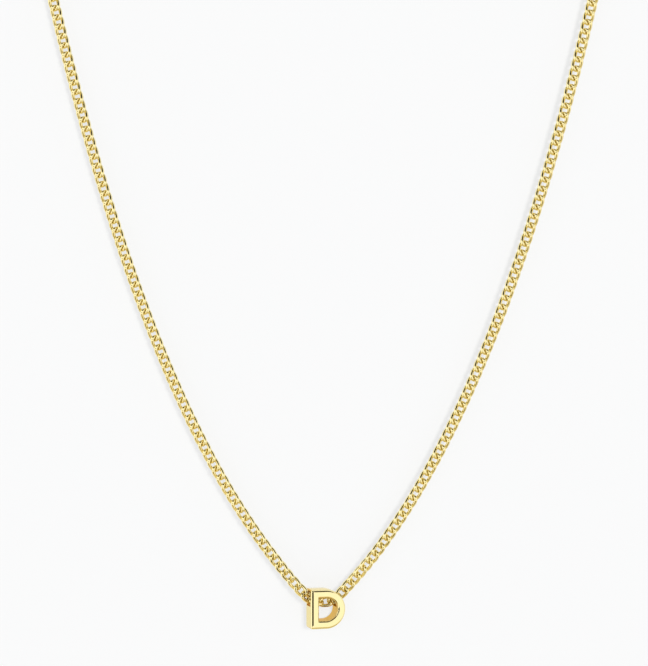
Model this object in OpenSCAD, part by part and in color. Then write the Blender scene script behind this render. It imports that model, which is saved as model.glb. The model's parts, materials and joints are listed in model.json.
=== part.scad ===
// A small letter D bead on a fine curb chain, hanging as a whole necklace loop.
// Millimetres. X runs across the front, Y runs to the back and Z runs up.
// The origin is the top of the loop, where the necklace hangs.

/* [Letter] */
// Height of the letter
letter_height = 6.7; // [6:0.1:8]
// Width of the letter
letter_width = 6.1; // [5.6:0.1:7.5]
// Depth of the letter from front to back
letter_depth = 3.8; // [3.3:0.1:5]
// Width of the letter's strokes
stroke = 1.4; // [1.1:0.05:1.7]
// Rounding of the front and back edges
edge_round = 0.45; // [0.2:0.05:0.5]
// Rounding of the two square corners
corner_round = 0.3; // [0.1:0.05:0.5]
// Turn of the hanging letter, with its front to the viewer's right
letter_turn = 15; // [0:1:20]

/* [Passage through the letter] */
// Width of the passage from front to back
passage_width = 2.4; // [2.2:0.1:2.6]
// Space kept above and below the chain in the passage
passage_gap = 0.3; // [0.25:0.05:0.4]
// Metal left above the passage at the square side
roof = 0.2; // [0.2:0.05:0.6]
// Distance of the square side from the middle of the link that it hangs on
side_space = 0.15; // [0.1:0.01:0.2]

/* [Chain] */
// Distance from one link to the next
link_pitch = 1.65; // [1.55:0.05:1.8]
// Width of a link across the chain
link_width = 2; // [1.9:0.05:2.2]
// Diameter of the chain's round wire
wire = 0.45; // [0.35:0.01:0.47]
// Space between the ends of two links that hold each other
link_gap = 0.18; // [0.15:0.01:0.25]
// Lean of a link's ends out of the chain's plane
link_lean = 50; // [46:1:54]
// Width of the one plain oval link that changes the twist, as drawn flat
oval_width = 1.85; // [1.7:0.05:2]
// Place of the oval link along the chain, right of the loop's lowest point
oval_place = -1.2; // [-1.3:0.05:-0.9]

/* [Loop] */
// Length of the whole necklace
necklace_length = 406; // [380:1:460]
// Slope of the chain beside the letter
hang_angle = 46.5; // [43:0.5:49]
// Bend radius of the chain inside the letter
dip_radius = 4.3; // [4.2:0.1:5]
// Size of the hanging curve, its radius where it would run level
drape_radius = 35; // [30:1:42]
// Distance over which the chain turns with the letter
sway_reach = 6; // [5.5:0.5:8]

/* [Closure at the back of the neck] */
// Inner diameter of the two connecting rings
ring_bore = 2.8; // [2.7:0.1:3.2]
// Wire of the two connecting rings
ring_wire = 0.5; // [0.4:0.05:0.55]
// Lean of the two connecting rings out of the chain's plane
ring_lean = 65; // [60:1:70]
// Outer diameter of the clasp's ring
clasp_size = 6; // [5.5:0.5:8]
// Diameter of the clasp's tube
clasp_tube = 1.2; // [1:0.1:1.3]
// Inner diameter of the clasp's eye
eye_bore = 1.7; // [1.6:0.1:2]
// Wire of the clasp's eye
eye_wire = 0.5; // [0.4:0.05:0.6]
// Space between the rings that hold each other
ring_gap = 0.18; // [0.15:0.01:0.25]

/* [Hidden] */
$fn = 48;
gold = "#d9b25c";
to_deg = 180 / PI;

function unit(v) = v / norm(v);

// A link's end is link_reach from its middle, its side is link_bow away.
link_reach = (link_pitch + wire + link_gap) / 2;
link_bow = (link_width - wire) / 2;
oval_bow = (oval_width - wire) / 2;
side_slope = link_bow / link_reach * tan(link_lean);
side_stretch = sqrt(1 + side_slope * side_slope);
// Half of a side's straight stretch, at which the end arc's two tangents are equally long.
side_half = (link_reach - side_stretch * link_bow * cos(link_lean))
  / (side_stretch * side_stretch + side_stretch * side_slope * sin(link_lean));
// The sides are slimmer than the arcs by side_less and run side_run into them at each end.
side_less = 0.01;
side_run = 0.02;
side_length = 2 * (side_half * side_stretch + side_run);
// The arc leaves the link's end along end_way and meets the side along side_way.
end_way = [0, sin(link_lean), cos(link_lean)];
side_way = -unit([1, side_slope, 0]);
arc_bend = acos(end_way * side_way);
arc_radius = norm([side_half - link_reach, side_slope * side_half, link_bow]) / 2 / sin(arc_bend / 2);
arc_out = cross(end_way, unit(cross(end_way, side_way)));
arc_roll = atan2(arc_out * cross(end_way, [1, 0, 0]), arc_out.x);

// The loop: an arc inside the letter, a hanging curve, and an arc that closes over the top.
dip_length = dip_radius * hang_angle / to_deg;
dip_half = dip_radius * sin(hang_angle);
dip_rise = dip_radius * (1 - cos(hang_angle));
hang_slope = tan(hang_angle);

function asinh(v) = ln(v + sqrt(v * v + 1));
function drape_slope(q) = hang_slope + q / drape_radius;
function drape_x(q) = dip_half + drape_radius * (asinh(drape_slope(q)) - asinh(hang_slope));
function drape_z(q) = dip_rise
  + drape_radius * (sqrt(1 + pow(drape_slope(q), 2)) - sqrt(1 + pow(hang_slope, 2)));
function drape_angle(q) = atan(drape_slope(q));
function top_radius(q) = drape_x(q) / sin(drape_angle(q));
function half_loop(q) = dip_length + q + top_radius(q) * (180 - drape_angle(q)) / to_deg;
function find_join(low, high, steps) =
  let (middle = (low + high) / 2)
  steps == 0 ? middle
  : half_loop(middle) < half_length ? find_join(middle, high, steps - 1)
  : find_join(low, middle, steps - 1);

// Point [x, z] and heading of the loop at a distance s from its lowest point.
function dip_spot(s) =
  let (t = s / dip_radius * to_deg) [dip_radius * sin(t), dip_radius * (1 - cos(t)), t];
function drape_spot(q) = [drape_x(q), drape_z(q), drape_angle(q)];
function top_spot(w) =
  let (t = join_angle + w / join_radius * to_deg)
  [join_radius * sin(t), top_centre - join_radius * cos(t), t];
function hanging_spot(s) = s < dip_length ? dip_spot(s) : drape_spot(s - dip_length);
function loop_spot(s) =
  s < dip_length + join ? hanging_spot(s) : top_spot(s - dip_length - join);

// The chain turns with the letter and comes back into its own plane.
function sway(x) = tan(letter_turn) * x * exp(-pow(x / sway_reach, 4));
function sway_slope(x) =
  let (share = pow(x / sway_reach, 4)) tan(letter_turn) * exp(-share) * (1 - 4 * share);

// Distances of the links from the lowest point, one pitch apart along the swayed line.
function step_from(s, way) =
  let (spot = hanging_spot(abs(s + way * link_pitch / 2)))
  way * link_pitch / sqrt(1 + pow(sway_slope(spot[0]) * cos(spot[2]), 2));
function link_places(way) =
  [for (i = 1, s = oval_place + step_from(oval_place, way); i <= links_a_side;
    i = i + 1, s = s + step_from(s, way)) s];

// The closure, measured along the loop from the last link's middle.
ring_radius = (ring_bore + ring_wire) / 2;
clasp_radius = (clasp_size - clasp_tube) / 2;
eye_radius = (eye_bore + eye_wire) / 2;
link_to_ring = link_reach - (wire + ring_wire) / 2 - ring_gap + ring_radius;
ring_to_tube = ring_bore / 2 - ring_gap - clasp_tube / 2;
ring_to_eye = ring_bore / 2 - ring_gap - eye_wire / 2 + eye_radius;
eye_to_clasp = eye_radius + clasp_radius;
right_closure = link_to_ring + ring_to_tube + clasp_radius;
left_closure = link_to_ring + ring_to_eye + eye_to_clasp;
closure_length = right_closure + left_closure;

links_a_side = round((necklace_length - closure_length) / link_pitch / 2);
right_places = link_places(1);
left_places = link_places(-1);
right_end = right_places[links_a_side - 1];
left_end = left_places[links_a_side - 1];
half_length = (right_end - left_end + closure_length) / 2;
join = find_join(0, half_length, 40);
join_angle = drape_angle(join);
join_radius = top_radius(join);
top_centre = drape_z(join) + join_radius * cos(join_angle);
loop_height = top_centre + join_radius;

// The letter: its square side stands beside the middle of the first left-hand link.
held_spot = hanging_spot(-left_places[0]);
letter_shift = letter_width / 2 - held_spot[0] / cos(letter_turn) + side_space;
letter_top = held_spot[1] + link_bow * cos(held_spot[2]) + wire / 2 + passage_gap + roof;
letter_z = letter_top - letter_height / 2;
bowl_radius = letter_height / 2;
bowl_x = letter_width / 2 - bowl_radius;
passage_half = link_width / 2 + passage_gap;
passage_steps = 6;

// Puts children at a place along the loop: X along it, Z into the loop, Y to the back.
module on_loop(s) {
  way = s < 0 ? -1 : 1;
  spot = loop_spot(abs(s));
  x = way * spot[0];
  turn = abs(spot[0]) < 2 * sway_reach && spot[2] < 90 ? sway_slope(x) : 0;
  side = turn == 0 ? 0 : sway(x);
  climb = atan2(way * sin(spot[2]), cos(spot[2]) * sqrt(1 + turn * turn));
  translate([x, side, spot[1] - loop_height]) rotate([0, -climb, atan(turn)]) children();
}

// A quarter of a curb link: round wire on an arc that leaves the origin along Y.
module link_quarter() {
  translate([-arc_radius, 0, 0]) rotate_extrude(angle = arc_bend)
    translate([arc_radius, 0]) circle(d = wire);
}

// One twisted curb link. hand is 1 on the right of the letter and -1 on its left.
module curb_link(hand) {
  mirror([0, hand < 0 ? 1 : 0, 0]) {
    for (flip = [0, 180], end = [0, 180])
      rotate([flip, 0, end]) translate([link_reach, 0, 0])
        rotate([90 - link_lean, 0, 0]) rotate([0, arc_roll, 0]) link_quarter();
    for (flip = [0, 180])
      rotate([flip, 0, 0]) translate([0, 0, link_bow]) rotate([0, 90, atan(side_slope)])
        cylinder(d = wire - side_less, h = side_length, center = true);
  }
}

// The plain oval link between the two twists.
module oval_link() {
  half = link_reach - oval_bow;
  rotate([90 - link_lean, 0, 0]) {
    for (end = [0, 180])
      rotate([0, 0, end]) translate([half, 0, 0]) rotate([0, 0, -90])
        rotate_extrude(angle = 180) translate([oval_bow, 0]) circle(d = wire);
    for (side = [-1, 1])
      translate([0, side * oval_bow, 0]) rotate([0, 90, 0])
        cylinder(d = wire, h = 2 * half, center = true);
  }
}

module round_ring(radius, thickness) {
  rotate([90, 0, 0]) rotate_extrude() translate([radius, 0]) circle(d = thickness);
}

// Outline of a stroke's section: a rectangle with round corners, depth along Y.
module stroke_section(inner) {
  r = min(edge_round, stroke / 2 - 0.01);
  y = letter_depth / 2 - r;
  translate([inner + r, 0]) {
    for (corner = [0, stroke - 2 * r], side = [-y, y]) translate([corner, side]) circle(r = r);
    translate([-r, -y]) square([stroke, 2 * y]);
    translate([0, -y - r]) square([stroke - 2 * r, letter_depth]);
  }
}

// A straight stroke along X whose inner edge is at Z = inner, cut at 45 degrees on the left.
module level_stroke(inner, left, right) {
  intersection() {
    translate([left, 0, 0]) rotate([90, 0, 90]) linear_extrude(right - left)
      rotate(90) mirror([0, 1]) stroke_section(inner);
    rotate([90, 0, 0]) translate([0, 0, -letter_depth]) linear_extrude(2 * letter_depth)
      polygon([
        [left, inner + stroke], [left + stroke, inner],
        [right + stroke, inner], [right + stroke, inner + stroke]
      ]);
  }
}

module letter_frame() {
  left = -letter_width / 2;
  inner = bowl_radius - stroke;
  // bowl
  translate([bowl_x, 0, 0]) rotate([90, 0, 0]) rotate([0, 0, -90])
    rotate_extrude(angle = 180) stroke_section(inner);
  // top and bottom strokes
  for (flip = [0, 180]) rotate([flip, 0, 0]) level_stroke(inner, left, bowl_x);
  // upright stroke
  intersection() {
    translate([left + stroke, 0, -bowl_radius]) linear_extrude(letter_height)
      mirror([1, 0]) stroke_section(0);
    rotate([90, 0, 0]) translate([0, 0, -letter_depth]) linear_extrude(2 * letter_depth)
      polygon([
        [left, -bowl_radius], [left + stroke, -inner],
        [left + stroke, inner], [left, bowl_radius]
      ]);
  }
}

// Takes the sharp edge off the two square corners.
module corner_block() {
  left = -letter_width / 2;
  rotate([90, 0, 0]) translate([0, 0, -letter_depth]) linear_extrude(2 * letter_depth) {
    for (side = [-1, 1])
      translate([left + corner_round, side * (bowl_radius - corner_round)]) circle(r = corner_round);
    translate([left, corner_round - bowl_radius]) square([letter_width, letter_height - 2 * corner_round]);
    translate([left + corner_round, -bowl_radius]) square([letter_width, letter_height]);
  }
}

// Side view of the passage: a band along the chain, cut off level below the roof on the left.
module passage_outline() {
  reach = letter_width / 2 + abs(letter_shift);
  ends = asin(min(0.98, reach / dip_radius));
  tilts = [for (i = [-passage_steps : passage_steps]) ends * i / passage_steps];
  low = dip_radius + passage_half;
  high = dip_radius - passage_half;
  ceiling = letter_top - roof;
  polygon(concat(
    [[-reach - 1, ceiling], [-reach - 1, dip_radius - low * cos(ends)]],
    [for (t = tilts) [low * sin(t), dip_radius - low * cos(t)]],
    [[reach + 1, dip_radius - low * cos(ends)], [reach + 1, letter_height]],
    [[high * sin(ends), letter_height]],
    [for (i = [passage_steps : -1 : -passage_steps]) let (t = ends * i / passage_steps)
      [high * sin(t), min(t < 0 ? ceiling : letter_height, dip_radius - high * cos(t))]]
  ));
}

module letter() {
  color(gold)
    translate([0, 0, -loop_height]) rotate([0, 0, letter_turn]) difference() {
      translate([letter_shift, 0, letter_z]) intersection() {
        letter_frame();
        corner_block();
      }
      rotate([90, 0, 0]) translate([0, 0, -passage_width / 2]) linear_extrude(passage_width)
        passage_outline();
    }
}

module chain_left() {
  color(gold) for (s = left_places) on_loop(s) curb_link(-1);
}

module chain_right() {
  color(gold) {
    on_loop(oval_place) oval_link();
    for (s = right_places) on_loop(s) curb_link(1);
  }
}

module ring_right() {
  color(gold) on_loop(right_end + link_to_ring) rotate([ring_lean, 0, 0])
    round_ring(ring_radius, ring_wire);
}

module ring_left() {
  color(gold) on_loop(left_end - link_to_ring) rotate([ring_lean, 0, 0])
    round_ring(ring_radius, ring_wire);
}

module clasp() {
  color(gold) on_loop(right_end + right_closure) {
    round_ring(clasp_radius, clasp_tube);
    translate([eye_to_clasp, 0, 0]) round_ring(eye_radius, eye_wire);
  }
}

letter();
chain_left();
chain_right();
ring_left();
ring_right();
clasp();
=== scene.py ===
# A gold letter D bead on a twisted curb chain, hanging just in front of a pale wall.
import json
import math
import bmesh
import bpy
import numpy
from mathutils import Matrix, Vector


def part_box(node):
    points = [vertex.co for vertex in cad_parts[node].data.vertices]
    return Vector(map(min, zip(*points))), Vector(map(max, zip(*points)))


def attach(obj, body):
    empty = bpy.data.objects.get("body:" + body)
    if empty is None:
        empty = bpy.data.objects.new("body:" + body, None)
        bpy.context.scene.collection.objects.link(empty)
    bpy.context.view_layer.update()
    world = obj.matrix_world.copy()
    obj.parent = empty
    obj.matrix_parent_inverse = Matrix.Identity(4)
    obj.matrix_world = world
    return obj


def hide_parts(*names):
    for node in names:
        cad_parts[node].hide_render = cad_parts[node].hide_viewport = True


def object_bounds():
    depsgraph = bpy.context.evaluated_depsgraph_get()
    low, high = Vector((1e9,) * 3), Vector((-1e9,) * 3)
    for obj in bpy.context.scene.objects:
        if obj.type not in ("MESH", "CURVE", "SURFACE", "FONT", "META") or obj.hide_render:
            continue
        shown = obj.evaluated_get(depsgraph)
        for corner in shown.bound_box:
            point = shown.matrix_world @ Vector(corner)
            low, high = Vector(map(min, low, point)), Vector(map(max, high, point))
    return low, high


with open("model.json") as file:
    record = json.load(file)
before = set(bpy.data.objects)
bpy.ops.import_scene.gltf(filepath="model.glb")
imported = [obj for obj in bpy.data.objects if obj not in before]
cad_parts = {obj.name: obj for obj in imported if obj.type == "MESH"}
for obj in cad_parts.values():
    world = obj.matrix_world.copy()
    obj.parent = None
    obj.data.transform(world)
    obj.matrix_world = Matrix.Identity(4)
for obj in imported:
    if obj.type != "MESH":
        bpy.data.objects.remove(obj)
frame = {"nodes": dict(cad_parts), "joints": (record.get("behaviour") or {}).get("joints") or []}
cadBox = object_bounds()
mm = 0.001

# how near two places are to count as one
nearness = {
    "packedPoints": 0.0001 * mm,
    "newPoints": 0.001 * mm,     # of the pieces made here
    "places": 0.01 * mm,
    "mitre": 0.02 * mm,          # the cut edges of the letter's corners
    "walls": 0.05 * mm,          # faces of the letter's hole and passage
}


# selecting

def deselectAll():
    for thing in bpy.context.selected_objects:
        thing.select_set(False)


def makeActive(piece):
    deselectAll()
    piece.select_set(True)
    bpy.context.view_layer.objects.active = piece


def justAdded(name):
    piece = bpy.context.active_object
    piece.name = name
    piece.data.name = name
    return piece


# materials

goldLook = {
    "paleTone": (0.93, 0.83, 0.46),
    "deepTone": (0.9, 0.78, 0.4),
    "edgeTint": (0.985, 0.926, 0.74),
    "patchSize": 2.2 * mm,       # soft changes of tone
    "markSize": 0.09 * mm,       # fine polishing marks
    "smooth": 0.04,
    "rough": 0.13,
    "markStrength": 0.1,
}

# the walls of the letter's hole and passage: rougher, where no polishing wheel reaches, and with a
# deeper, more orange tone that is painted shade and gold-on-gold reflection in these recesses
innerShadeLook = {
    "paleTone": (0.90, 0.68, 0.33),
    "deepTone": (0.80, 0.56, 0.22),
    "edgeTint": (0.88, 0.66, 0.33),
    "patchSize": 0.9 * mm,
    "markSize": 0.12 * mm,
    "smooth": 0.12,
    "rough": 0.3,
    "markStrength": 0.3,
}

# the noise behind the patches and marks, the same in every gold
polishNoise = {
    "patchDetail": 2.0,
    "markDetail": 4.0,
    "markRoughness": 0.6,
    "smoothBelow": 0.35,
    "roughAbove": 0.75,
    "markDepth": 0.002 * mm,
}


def makePolishGroup():
    # tone, roughness and fine marks of polished metal
    group = bpy.data.node_groups.new("polishedMetal", "ShaderNodeTree")
    sockets = (
        ("INPUT", "NodeSocketColor", ("Pale Tone", "Deep Tone")),
        ("INPUT", "NodeSocketFloat", ("Patch Scale", "Mark Scale", "Smooth", "Rough")),
        ("OUTPUT", "NodeSocketColor", ("Colour",)),
        ("OUTPUT", "NodeSocketFloat", ("Roughness", "Height")),
    )
    for way, kind, names in sockets:
        for name in names:
            group.interface.new_socket(name=name, in_out=way, socket_type=kind)
    nodes = group.nodes
    links = group.links
    given = nodes.new("NodeGroupInput")
    given.location = (-700, 0)
    put = nodes.new("NodeGroupOutput")
    put.location = (700, 0)
    place = nodes.new("ShaderNodeTexCoord")
    place.location = (-700, -300)

    patches = nodes.new("ShaderNodeTexNoise")
    patches.location = (-400, 200)
    patches.inputs["Detail"].default_value = polishNoise["patchDetail"]
    links.new(place.outputs["Object"], patches.inputs["Vector"])
    links.new(given.outputs["Patch Scale"], patches.inputs["Scale"])

    marks = nodes.new("ShaderNodeTexNoise")
    marks.location = (-400, -200)
    marks.inputs["Detail"].default_value = polishNoise["markDetail"]
    marks.inputs["Roughness"].default_value = polishNoise["markRoughness"]
    links.new(place.outputs["Object"], marks.inputs["Vector"])
    links.new(given.outputs["Mark Scale"], marks.inputs["Scale"])

    tone = nodes.new("ShaderNodeMix")
    tone.data_type = "RGBA"
    tone.location = (200, 200)
    links.new(patches.outputs["Fac"], tone.inputs[0])
    links.new(given.outputs["Deep Tone"], tone.inputs[6])
    links.new(given.outputs["Pale Tone"], tone.inputs[7])
    links.new(tone.outputs[2], put.inputs["Colour"])

    rough = nodes.new("ShaderNodeMapRange")
    rough.location = (200, -50)
    rough.inputs["From Min"].default_value = polishNoise["smoothBelow"]
    rough.inputs["From Max"].default_value = polishNoise["roughAbove"]
    links.new(marks.outputs["Fac"], rough.inputs["Value"])
    links.new(given.outputs["Smooth"], rough.inputs["To Min"])
    links.new(given.outputs["Rough"], rough.inputs["To Max"])
    links.new(rough.outputs["Result"], put.inputs["Roughness"])
    links.new(marks.outputs["Fac"], put.inputs["Height"])
    return group


def makeGold(name, group, look):
    material = bpy.data.materials.new(name)
    material.use_nodes = True
    nodes = material.node_tree.nodes
    links = material.node_tree.links
    shader = nodes["Principled BSDF"]
    shader.inputs["Metallic"].default_value = 1.0
    shader.inputs["Specular Tint"].default_value = (*look["edgeTint"], 1)
    finish = nodes.new("ShaderNodeGroup")
    finish.node_tree = group
    finish.location = (-500, 0)
    finish.inputs["Pale Tone"].default_value = (*look["paleTone"], 1)
    finish.inputs["Deep Tone"].default_value = (*look["deepTone"], 1)
    finish.inputs["Patch Scale"].default_value = 1 / look["patchSize"]
    finish.inputs["Mark Scale"].default_value = 1 / look["markSize"]
    finish.inputs["Smooth"].default_value = look["smooth"]
    finish.inputs["Rough"].default_value = look["rough"]
    links.new(finish.outputs["Colour"], shader.inputs["Base Color"])
    links.new(finish.outputs["Roughness"], shader.inputs["Roughness"])
    bump = nodes.new("ShaderNodeBump")
    bump.location = (-250, -250)
    bump.inputs["Strength"].default_value = look["markStrength"]
    bump.inputs["Distance"].default_value = polishNoise["markDepth"]
    links.new(finish.outputs["Height"], bump.inputs["Height"])
    links.new(bump.outputs["Normal"], shader.inputs["Normal"])
    return material


def finishPiece(piece, material, slot, body, *nodes):
    if material:
        piece.data.materials.clear()
        piece.data.materials.append(material)
    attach(piece, body)
    if nodes:
        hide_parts(*nodes)


# where the links are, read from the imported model

def looseParts(node):
    # a merged copy of the node, split into its separate links
    source = frame["nodes"][node]
    copy = source.copy()
    copy.data = source.data.copy()
    copy.parent = None
    bpy.context.collection.objects.link(copy)
    makeActive(copy)
    bpy.ops.object.mode_set(mode="EDIT")
    bpy.ops.mesh.select_all(action="SELECT")
    bpy.ops.mesh.remove_doubles(threshold=nearness["packedPoints"])
    bpy.ops.mesh.separate(type="LOOSE")
    bpy.ops.object.mode_set(mode="OBJECT")
    return list(bpy.context.selected_objects)


def placeOf(part):
    # middle, the directions along and across, and the half sizes of a link
    shape = part.data
    count = len(shape.polygons)
    middles = numpy.empty(count * 3)
    areas = numpy.empty(count)
    points = numpy.empty(len(shape.vertices) * 3)
    shape.polygons.foreach_get("center", middles)
    shape.polygons.foreach_get("area", areas)
    shape.vertices.foreach_get("co", points)
    middles = middles.reshape(-1, 3)
    weights = areas[:, None] / areas.sum()
    middle = (middles * weights).sum(0)
    spread = ((middles - middle) * weights).T @ (middles - middle)
    directions = numpy.linalg.eigh(spread)[1][:, ::-1]
    if numpy.linalg.det(directions) < 0:
        directions[:, 2] *= -1
    halfSizes = numpy.abs((points.reshape(-1, 3) - middle) @ directions).max(0)
    return Vector(middle), Matrix(directions.tolist()), halfSizes


def readPlaces(node):
    parts = looseParts(node)
    places = [placeOf(part) for part in parts]
    for part in parts:
        shape = part.data
        bpy.data.objects.remove(part)
        bpy.data.meshes.remove(shape)
    return places


# chain

chainSizes = {
    "wire": 0.6 * mm,            # fuller than the solids', so that the links nearly touch
    "reach": 1.13 * mm,          # middle of a link to the middle of its end's wire
    "bow": 0.7 * mm,             # middle of a link to the middle of its side's wire
    "lean": math.radians(50),    # of a link's end, out of the chain's plane
    "sideTurn": math.radians(24),    # of a link's side, out of the chain's plane
    "endHandle": 0.78 * mm,
    "sideHandle": 0.72 * mm,
    "ovalBow": 0.63 * mm,
    "ovalHandle": 0.62,          # share of the oval's half length or half width
    "flatUnder": 0.4 * mm,       # the one oval link reaches less than this out of its plane
    "stepsAQuarter": 6,          # along a quarter of a link
    "wireSides": 10,
}


def closedWire(name, points, wire, sides, steps):
    # a closed wire through four points, each with its handle
    bpy.ops.curve.primitive_bezier_circle_add(radius=1)
    curve = bpy.context.active_object
    line = curve.data.splines[0]
    for knot, (spot, handle) in zip(line.bezier_points, points):
        knot.handle_left_type = knot.handle_right_type = "FREE"
        knot.co = spot
        knot.handle_right = Vector(spot) + Vector(handle)
        knot.handle_left = Vector(spot) - Vector(handle)
    curve.data.resolution_u = steps
    curve.data.bevel_depth = wire / 2
    curve.data.bevel_resolution = (sides - 4) // 2
    curve.data.use_fill_caps = False
    makeActive(curve)
    bpy.ops.object.convert(target="MESH")
    piece = justAdded(name)
    bpy.ops.object.mode_set(mode="EDIT")
    bpy.ops.mesh.select_all(action="SELECT")
    bpy.ops.mesh.remove_doubles(threshold=nearness["newPoints"])
    bpy.ops.mesh.normals_make_consistent(inside=False)
    bpy.ops.object.mode_set(mode="OBJECT")
    bpy.ops.object.shade_smooth()
    return piece


def curbLink(hand):
    # X along the chain, Y across it in its plane, Z out of it
    s = chainSizes
    endAcross = math.cos(s["lean"]) * s["endHandle"]
    endOut = hand * math.sin(s["lean"]) * s["endHandle"]
    sideAlong = math.cos(s["sideTurn"]) * s["sideHandle"]
    sideOut = hand * math.sin(s["sideTurn"]) * s["sideHandle"]
    points = [
        ((s["reach"], 0, 0), (0, endAcross, -endOut)),
        ((0, s["bow"], 0), (-sideAlong, 0, sideOut)),
        ((-s["reach"], 0, 0), (0, -endAcross, -endOut)),
        ((0, -s["bow"], 0), (sideAlong, 0, sideOut)),
    ]
    return closedWire("curbLink", points, s["wire"], s["wireSides"], s["stepsAQuarter"])


def ovalLink():
    s = chainSizes
    endAcross = s["ovalHandle"] * s["ovalBow"]
    sideAlong = s["ovalHandle"] * s["reach"]
    points = [
        ((s["reach"], 0, 0), (0, endAcross, 0)),
        ((0, s["ovalBow"], 0), (-sideAlong, 0, 0)),
        ((-s["reach"], 0, 0), (0, -endAcross, 0)),
        ((0, -s["ovalBow"], 0), (sideAlong, 0, 0)),
    ]
    return closedWire("ovalLink", points, s["wire"], s["wireSides"], s["stepsAQuarter"])


def placedCopy(master, middle, directions):
    # with its own mesh, moved and turned to the link's place
    copy = master.copy()
    copy.data = master.data.copy()
    bpy.context.collection.objects.link(copy)
    copy.data.transform(Matrix.Translation(middle) @ directions.to_4x4())
    return copy


def makeChain(name, node, hand):
    # hand is 1 or -1, the way that the links twist
    places = readPlaces(node)
    curb = curbLink(hand)
    oval = ovalLink()
    copies = []
    for middle, directions, halfSizes in places:
        master = oval if halfSizes[2] < chainSizes["flatUnder"] else curb
        copies.append(placedCopy(master, middle, directions))
    makeActive(copies[0])
    for copy in copies:
        copy.select_set(True)
    bpy.ops.object.join()
    chain = justAdded(name)
    for master in (curb, oval):
        bpy.data.objects.remove(master)
    print(name, "links:", len(places), "faces:", len(chain.data.polygons))
    return chain


# letter

letterSizes = {
    "width": 6.1 * mm,
    "height": 6.7 * mm,
    "depth": 3.8 * mm,
    "stroke": 1.4 * mm,
    "edgeRound": 0.45 * mm,      # of the outer front and back edges
    "innerRound": 0.36 * mm,     # of the hole's front and back edges
    "cornerRound": 0.28 * mm,
    "cornerSupport": 0.4 * mm,   # edges beside the corners keep the long faces' shading straight
    "cornerEdge": 0.2 * mm,      # the corner's outer edges start this near to the left side
    "overshoot": 0.5 * mm,       # of the strokes, before their ends are cut at 45 degrees
    "roundSteps": 10,
    "cornerSteps": 4,
    "bowlSteps": 72,
    "smoothUpTo": math.radians(32),
    "wallLean": 0.2,             # a wall's normal has less than this along the depth
    "passageWidth": 2.4 * mm,
    "passageHalf": 1.3 * mm,     # half its height, square to the chain
    "passageSteps": 24,
    "dipRadius": 4.3 * mm,       # bend of the chain inside the letter
    "dipReach": math.radians(61),    # of the passage, to each side of the lowest point
    "ceiling": 2.03 * mm,        # of the passage, above the chain's lowest point
    "swingAboveChain": 0.7 * mm,     # the joint's axis, above the chain's lowest point
}


def nearly(value, target, room=nearness["places"]):
    return abs(value - target) < room


def pick(piece, kind, test):
    # selects the vertices, edges or faces that pass the test, in edit mode
    bpy.ops.mesh.select_mode(type=kind)
    bpy.ops.mesh.select_all(action="DESELECT")
    net = bmesh.from_edit_mesh(piece.data)
    group = {"VERT": net.verts, "EDGE": net.edges, "FACE": net.faces}[kind]
    count = 0
    for thing in group:
        if test(thing):
            thing.select_set(True)
            count += 1
    net.select_flush_mode()
    bmesh.update_edit_mesh(piece.data)
    return count


def middleOf(edge):
    return (edge.verts[0].co + edge.verts[1].co) / 2


def makeLetter():
    # in its own frame, the middle of the letter at the origin and its front towards -Y
    s = letterSizes
    left = -s["width"] / 2
    top = s["height"] / 2
    bowlX = s["width"] / 2 - top
    middle = top - s["stroke"] / 2

    # the top stroke's section, rounded at its corners and spun round the bowl
    bpy.ops.mesh.primitive_plane_add(size=1, location=(bowlX, 0, middle),
                                     rotation=(0, math.radians(90), 0))
    letter = justAdded("letterD")
    letter.scale = (s["stroke"], s["depth"], 1)
    bpy.ops.object.transform_apply(location=True, rotation=True, scale=True)
    bpy.ops.object.mode_set(mode="EDIT")
    pick(letter, "VERT", lambda v: v.co.z > middle)
    bpy.ops.mesh.bevel(offset=s["edgeRound"], segments=s["roundSteps"], affect="VERTICES")
    pick(letter, "VERT", lambda v: v.co.z < middle)
    bpy.ops.mesh.bevel(offset=s["innerRound"], segments=s["roundSteps"], affect="VERTICES")
    bpy.ops.mesh.select_all(action="SELECT")
    bpy.ops.mesh.delete(type="ONLY_FACE")
    bpy.ops.mesh.select_all(action="SELECT")
    bpy.ops.mesh.spin(steps=s["bowlSteps"], angle=-math.pi, center=(bowlX, 0, 0), axis=(0, 1, 0))

    # both ends of the bowl run on to the left and are cut off at 45 degrees
    pick(letter, "EDGE", lambda e: e.is_boundary and nearly(middleOf(e).x, bowlX))
    longStroke = bowlX - left + s["overshoot"]
    bpy.ops.mesh.extrude_region_move(TRANSFORM_OT_translate={"value": (-longStroke, 0, 0)})
    for side in (1, -1):
        def inStroke(face):
            spot = face.calc_center_median()
            return spot.x < bowlX and spot.z * side > 0
        pick(letter, "FACE", inStroke)
        bpy.ops.mesh.bisect(plane_co=(left, 0, side * top), plane_no=(1, 0, side), clear_inner=True)
    pick(letter, "EDGE", lambda e: e.is_boundary)
    bpy.ops.mesh.bridge_edge_loops()
    bpy.ops.mesh.select_all(action="SELECT")
    bpy.ops.mesh.remove_doubles(threshold=nearness["newPoints"])
    bpy.ops.mesh.normals_make_consistent(inside=False)

    # support edges on both sides of each mitre
    for side in (1, -1):
        for back, down in ((0, s["cornerSupport"]), (s["cornerSupport"], 0)):
            pick(letter, "FACE", lambda f: f.calc_center_median().x < bowlX)
            bpy.ops.mesh.bisect(plane_co=(left + back, 0, side * (top - down)), plane_no=(1, 0, side))

    # the two square corners
    def outerCorner(edge):
        a, b = (v.co for v in edge.verts)
        mitred = all(nearly(v.x - left, top - abs(v.z), nearness["mitre"]) for v in (a, b))
        return mitred and max(a.x, b.x) - left < s["cornerEdge"]
    found = pick(letter, "EDGE", outerCorner)
    bpy.ops.mesh.bevel(offset=s["cornerRound"], segments=s["cornerSteps"], affect="EDGES",
                       clamp_overlap=True)
    bpy.ops.object.mode_set(mode="OBJECT")
    print("letter made, corner edges:", found)
    return letter


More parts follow.
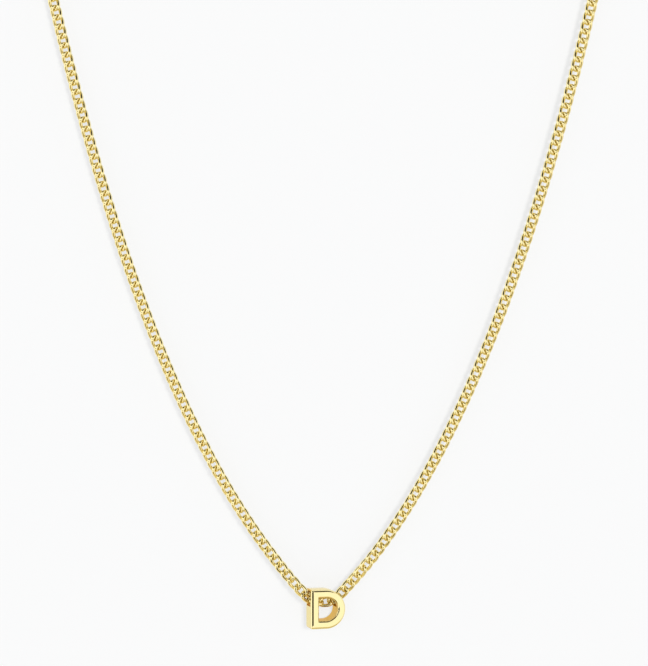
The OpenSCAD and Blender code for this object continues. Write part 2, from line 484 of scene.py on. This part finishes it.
def makePassage(low, shift):
    # a band along the chain's bend, cut off level below the roof on the left
    s = letterSizes
    centre = low + s["dipRadius"]
    bpy.ops.mesh.primitive_plane_add(size=1, location=(shift, 0, low), rotation=(0, math.radians(90), 0))
    band = justAdded("passage")
    band.scale = (2 * s["passageHalf"], s["passageWidth"], 1)
    bpy.ops.object.transform_apply(location=True, rotation=True, scale=True)
    bpy.ops.object.mode_set(mode="EDIT")
    bpy.ops.mesh.select_all(action="SELECT")
    there = Matrix.Translation((shift, 0, centre))
    back = Matrix.Translation((-shift, 0, -centre))
    turn = there @ Matrix.Rotation(s["dipReach"], 4, "Y") @ back
    net = bmesh.from_edit_mesh(band.data)
    for vert in net.verts:
        vert.co = turn @ vert.co
    bmesh.update_edit_mesh(band.data)
    bpy.ops.mesh.spin(steps=s["passageSteps"], angle=2 * s["dipReach"], center=(shift, 0, centre),
                      axis=(0, 1, 0))
    pick(band, "EDGE", lambda e: e.is_boundary)
    bpy.ops.mesh.fill_holes(sides=4)
    ceiling = low + s["ceiling"]
    pick(band, "VERT", lambda v: v.co.x < shift and v.co.z > ceiling)
    bpy.ops.transform.resize(value=(1, 1, 0), center_override=(0, 0, ceiling))
    bpy.ops.mesh.select_all(action="SELECT")
    bpy.ops.mesh.normals_make_consistent(inside=False)
    bpy.ops.object.mode_set(mode="OBJECT")
    return band


def placeLetter(letter, middle, turn):
    letter.rotation_euler = (0, 0, turn)
    letter.location = middle
    makeActive(letter)
    bpy.ops.object.transform_apply(location=True, rotation=True, scale=True)


def paintInnerShade(letter):
    # the walls of the hole and of the passage get the second gold, whose deeper, more orange tone is
    # painted shade and reflection
    s = letterSizes
    left = -s["width"] / 2
    outer = s["height"] / 2
    inner = outer - s["stroke"]
    bowlX = s["width"] / 2 - outer
    wallHalf = s["depth"] / 2 - s["edgeRound"]
    room = nearness["walls"]

    def inHole(face):
        spot = face.calc_center_median()
        isWall = abs(face.normal.y) < s["wallLean"] and abs(spot.y) < wallHalf
        inStrokes = left + s["stroke"] - room < spot.x and abs(spot.z) < inner + room
        inBowl = spot.x < bowlX or math.hypot(spot.x - bowlX, spot.z) < inner + room
        return isWall and inStrokes and inBowl

    def inPassage(face):
        spot = face.calc_center_median()
        fromMiddle = math.hypot(max(spot.x - bowlX, 0), spot.z)
        buried = abs(spot.x - left) > room and fromMiddle < outer - room
        return buried and abs(spot.y) < s["passageWidth"] / 2 + nearness["places"]

    makeActive(letter)
    letter.data.materials.append(letterGold)
    letter.data.materials.append(innerShadedGold)
    bpy.ops.object.mode_set(mode="EDIT")
    found = pick(letter, "FACE", lambda f: inHole(f) or inPassage(f))
    letter.active_material_index = 1
    bpy.ops.object.material_slot_assign()
    bpy.ops.object.mode_set(mode="OBJECT")
    print("faces of the letter's inner walls:", found)


def finishLetter():
    joint = frame["joints"][0]
    turn = math.atan2(joint["axis"][1], joint["axis"][0])
    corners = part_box("letter")
    middle = (corners[0] + corners[1]) / 2
    chainLow = Vector((0, 0, joint["pos_m"][2] - letterSizes["swingAboveChain"]))
    fromMiddle = Matrix.Rotation(-turn, 4, "Z") @ (chainLow - middle)
    letter = makeLetter()
    passage = makePassage(fromMiddle.z, fromMiddle.x)
    cut = letter.modifiers.new("passage", "BOOLEAN")
    cut.object = passage
    cut.operation = "DIFFERENCE"
    cut.solver = "EXACT"
    makeActive(letter)
    bpy.ops.object.modifier_apply(modifier=cut.name)
    bpy.data.objects.remove(passage)
    bpy.ops.object.mode_set(mode="EDIT")
    bpy.ops.mesh.select_all(action="SELECT")
    bpy.ops.mesh.remove_doubles(threshold=nearness["newPoints"])
    bpy.ops.object.mode_set(mode="OBJECT")
    bpy.ops.object.shade_smooth_by_angle(angle=letterSizes["smoothUpTo"])
    paintInnerShade(letter)
    placeLetter(letter, middle, turn)
    return letter


# stage, light and camera

studio = {
    "wallGap": 0.1 * mm,         # between the letter's back and the wall
    "wallSize": 3.0,
    "floorDrop": 0.02,
    "wallTone": (0.2, 0.2, 0.2),
    "wallRoughness": 0.9,
    "wallGlow": (0.98, 0.99, 1.0),
    "glowStrength": 0.672,
    "sunTurn": 16,               # degrees to the right of the camera
    "sunRise": 7,                # degrees above it
    "sunWidth": 11,              # degrees across, for the shadow's soft edge
    "sunStrength": 2.2,
    "sunTone": (1.0, 0.98, 0.96),
    "backTone": (0.93, 0.93, 0.935),     # seen past the wall and through its back
}

# what the gold mirrors: a pale tent with dark patches in front of the letter, above and below the camera.
# Angles are degrees from the camera's direction, each pair the two ends of a soft edge.
tent = {
    "bright": 1.16,
    "low": 0.72,                 # far below the camera
    "left": 0.4,                 # more light far to the left
    "right": -0.25,              # less far to the right
    "lowEdge": (-45, -18),
    "leftEdge": (-80, -60),
    "rightEdge": (60, 85),
    "paleTone": (1.0, 0.99, 0.975),
    "warmTone": (1.0, 0.84, 0.5),    # below, and where it darkens
    "dark": 0.03,
    # dark patches: the edges of the foot, the head, the left side and the right side
    "patches": {
        "highStrip": ((32, 42), (70, 80), (-80, -66), (62, 76)),
        "stripsFoot": ((19, 25), (70, 80), (20, 28), (46, 58)),
        "thinBand": ((-14, -11), (-4, -1), (-60, -48), (16, 20)),
        "lowPatch": ((-60, -52), (-34, -30), (-40, -32), (0, 6)),
    },
}

# a dark card in front of the letter, and how far it reaches from the letter's middle
card = {
    "tone": (0.03, 0.025, 0.015),
    "distance": 8 * mm,
    "left": 9.7 * mm,
    "right": 0.6 * mm,
    "down": 0.4 * mm,
    "up": 6.2 * mm,
}

# the camera, at the photo's view
photo = {
    "height": 666,               # the longer side, in pixels
    "focalPixels": 1957,
    "sensor": 36,                # across the longer side, in Blender's camera millimetres
    "distance": 336.6 * mm,
    "middleX": 0.17 * mm,
    "middleAboveLowest": 46.2 * mm,
    "clipStart": 10 * mm,
}


def plainMaterial(name):
    # clear when seen from behind, so that it hides nothing in the back views
    material = bpy.data.materials.new(name)
    material.use_nodes = True
    nodes = material.node_tree.nodes
    links = material.node_tree.links
    shader = nodes["Principled BSDF"]
    shader.inputs["Base Color"].default_value = (*studio["wallTone"], 1)
    shader.inputs["Roughness"].default_value = studio["wallRoughness"]
    shader.inputs["Specular IOR Level"].default_value = 0.0
    shader.inputs["Emission Color"].default_value = (*studio["wallGlow"], 1)
    shader.inputs["Emission Strength"].default_value = studio["glowStrength"]
    behind = nodes.new("ShaderNodeNewGeometry")
    clear = nodes.new("ShaderNodeBsdfTransparent")
    either = nodes.new("ShaderNodeMixShader")
    links.new(behind.outputs["Backfacing"], either.inputs["Fac"])
    links.new(shader.outputs["BSDF"], either.inputs[1])
    links.new(clear.outputs["BSDF"], either.inputs[2])
    links.new(either.outputs["Shader"], nodes["Material Output"].inputs["Surface"])
    return material


def makeStage():
    # a wall just behind the letter, and a floor below it
    low, high = cadBox
    size = studio["wallSize"]
    floorHeight = low.z - studio["floorDrop"]
    wallPlace = (0, high.y + studio["wallGap"], floorHeight + size / 2)
    bpy.ops.mesh.primitive_plane_add(size=size, location=wallPlace, rotation=(math.radians(90), 0, 0))
    wall = justAdded("wall")
    wall.data.materials.append(plainMaterial("paleWall"))
    bpy.ops.mesh.primitive_plane_add(size=2 * size, location=(0, 0, floorHeight))
    floor = justAdded("floor")
    floor.data.materials.append(plainMaterial("paleFloor"))
    floor.visible_glossy = False    # the gold mirrors the tent below it too
    for thing in (wall, floor):
        makeActive(thing)
        bpy.ops.object.transform_apply(location=True, rotation=True, scale=True)


def mathNode(tree, how, first, second=None):
    node = tree.nodes.new("ShaderNodeMath")
    node.operation = how
    for place, value in enumerate((first, second)):
        if isinstance(value, (int, float)):
            node.inputs[place].default_value = value
        elif value is not None:
            tree.links.new(value, node.inputs[place])
    return node.outputs[0]


def rise(tree, value, limits, low=0.0, high=1.0):
    # a smooth step from low to high between two values
    node = tree.nodes.new("ShaderNodeMapRange")
    node.interpolation_type = "SMOOTHSTEP"
    tree.links.new(value, node.inputs["Value"])
    node.inputs["From Min"].default_value, node.inputs["From Max"].default_value = limits
    node.inputs["To Min"].default_value, node.inputs["To Max"].default_value = low, high
    return node.outputs["Result"]


def makeTent():
    world = bpy.data.worlds.new("tent")
    bpy.context.scene.world = world
    world.use_nodes = True
    tree = world.node_tree
    place = tree.nodes.new("ShaderNodeTexCoord")
    parts = tree.nodes.new("ShaderNodeSeparateXYZ")
    tree.links.new(place.outputs["Generated"], parts.inputs[0])
    forward = mathNode(tree, "MULTIPLY", parts.outputs["Y"], -1)
    turn = mathNode(tree, "ARCTAN2", parts.outputs["X"], forward)
    toDegrees = 180 / math.pi
    turnDegrees = mathNode(tree, "MULTIPLY", turn, toDegrees)
    height = mathNode(tree, "ARCSINE", parts.outputs["Z"])
    heightDegrees = mathNode(tree, "MULTIPLY", height, toDegrees)

    def together(*masks):
        # where all masks are open
        product = masks[0]
        for mask in masks[1:]:
            product = mathNode(tree, "MULTIPLY", product, mask)
        return product

    shade = 0.0
    for foot, head, left, right in tent["patches"].values():
        patch = together(rise(tree, heightDegrees, foot), rise(tree, heightDegrees, head, 1.0, 0.0),
                         rise(tree, turnDegrees, left), rise(tree, turnDegrees, right, 1.0, 0.0))
        shade = mathNode(tree, "MAXIMUM", shade, patch)
    openPart = mathNode(tree, "SUBTRACT", 1.0, shade)
    level = rise(tree, heightDegrees, tent["lowEdge"], tent["low"], tent["bright"])
    pale = mathNode(tree, "MULTIPLY", openPart, rise(tree, heightDegrees, tent["lowEdge"]))
    farLeft = rise(tree, turnDegrees, tent["leftEdge"], tent["left"], 0.0)
    farRight = rise(tree, turnDegrees, tent["rightEdge"], 0.0, tent["right"])
    bright = mathNode(tree, "ADD", level, mathNode(tree, "ADD", farLeft, farRight))
    glow = mathNode(tree, "ADD", mathNode(tree, "MULTIPLY", openPart, bright), tent["dark"])

    background = tree.nodes["Background"]
    tone = tree.nodes.new("ShaderNodeMix")
    tone.data_type = "RGBA"
    tree.links.new(pale, tone.inputs[0])
    tone.inputs[6].default_value = (*tent["warmTone"], 1)
    tone.inputs[7].default_value = (*tent["paleTone"], 1)
    tree.links.new(tone.outputs[2], background.inputs["Color"])
    tree.links.new(glow, background.inputs["Strength"])

    # the camera sees a plain ground in the tent's place
    plain = tree.nodes.new("ShaderNodeBackground")
    plain.inputs["Color"].default_value = (*studio["backTone"], 1)
    seen = tree.nodes.new("ShaderNodeLightPath")
    either = tree.nodes.new("ShaderNodeMixShader")
    tree.links.new(seen.outputs["Is Camera Ray"], either.inputs["Fac"])
    tree.links.new(background.outputs[0], either.inputs[1])
    tree.links.new(plain.outputs[0], either.inputs[2])
    tree.links.new(either.outputs[0], tree.nodes["World Output"].inputs["Surface"])


def makeCard():
    # only the gold's reflections show it
    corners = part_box("letter")
    middle = (corners[0] + corners[1]) / 2
    place = (middle.x + (card["right"] - card["left"]) / 2, corners[0].y - card["distance"],
             middle.z + (card["up"] - card["down"]) / 2)
    bpy.ops.mesh.primitive_plane_add(size=1, location=place, rotation=(math.radians(90), 0, 0))
    flag = justAdded("darkCard")
    flag.scale = (card["left"] + card["right"], card["up"] + card["down"], 1)
    bpy.ops.object.transform_apply(location=True, rotation=True, scale=True)
    material = bpy.data.materials.new("darkCloth")
    material.use_nodes = True
    shader = material.node_tree.nodes["Principled BSDF"]
    shader.inputs["Base Color"].default_value = (*card["tone"], 1)
    shader.inputs["Roughness"].default_value = 1.0
    shader.inputs["Specular IOR Level"].default_value = 0.0
    flag.data.materials.append(material)
    flag.visible_camera = False
    flag.visible_diffuse = False
    flag.visible_shadow = False


def makeSun():
    turn = math.radians(studio["sunTurn"])
    height = math.radians(studio["sunRise"])
    level = math.cos(height)
    towards = Vector((math.sin(turn) * level, -math.cos(turn) * level, math.sin(height)))
    bpy.ops.object.light_add(type="SUN", location=towards)
    sun = bpy.context.active_object
    sun.name = "softSun"
    sun.data.energy = studio["sunStrength"]
    sun.data.angle = math.radians(studio["sunWidth"])
    sun.data.color = studio["sunTone"]
    sun.rotation_euler = towards.to_track_quat("Z", "Y").to_euler()
    sun.visible_glossy = False    # it only casts the shadow: the gold mirrors the tent


def makeCamera():
    lowest = frame["joints"][0]["pos_m"][2] - letterSizes["swingAboveChain"]
    data = bpy.data.cameras.new("photoCamera")
    camera = bpy.data.objects.new("photoCamera", data)
    bpy.context.scene.collection.objects.link(camera)
    data.sensor_width = photo["sensor"]
    data.lens = photo["focalPixels"] * data.sensor_width / photo["height"]
    data.clip_start = photo["clipStart"]
    camera.location = (photo["middleX"], -photo["distance"], lowest + photo["middleAboveLowest"])
    camera.rotation_euler = (math.radians(90), 0, 0)
    bpy.context.scene.camera = camera


deselectAll()
polish = makePolishGroup()
chainGold = makeGold("chainGold", polish, goldLook)
letterGold = makeGold("letterGold", polish, goldLook)
# the inner walls' gold: its deeper, more orange tone is painted shade and reflection
innerShadedGold = makeGold("innerShadedGold", polish, innerShadeLook)
print("materials made")

chainLeft = makeChain("chainLeft", "chain_left", -1)
chainRight = makeChain("chainRight", "chain_right", 1)
# each with its body and the node that it replaces
finishPiece(chainLeft, chainGold, "chain_gold", "necklace", "chain_left")
finishPiece(chainRight, chainGold, "chain_gold", "necklace", "chain_right")
letter = finishLetter()
finishPiece(letter, None, "letter_gold", "letter", "letter")
for node in ("ring_left", "ring_right", "clasp"):
    plain = frame["nodes"][node]
    plain.data.materials.clear()
    plain.data.materials.append(chainGold)
print("pieces made")

makeStage()
makeTent()
makeCard()
makeSun()
makeCamera()
bpy.context.scene.view_settings.view_transform = "Standard"
print("stage, lights and camera made")
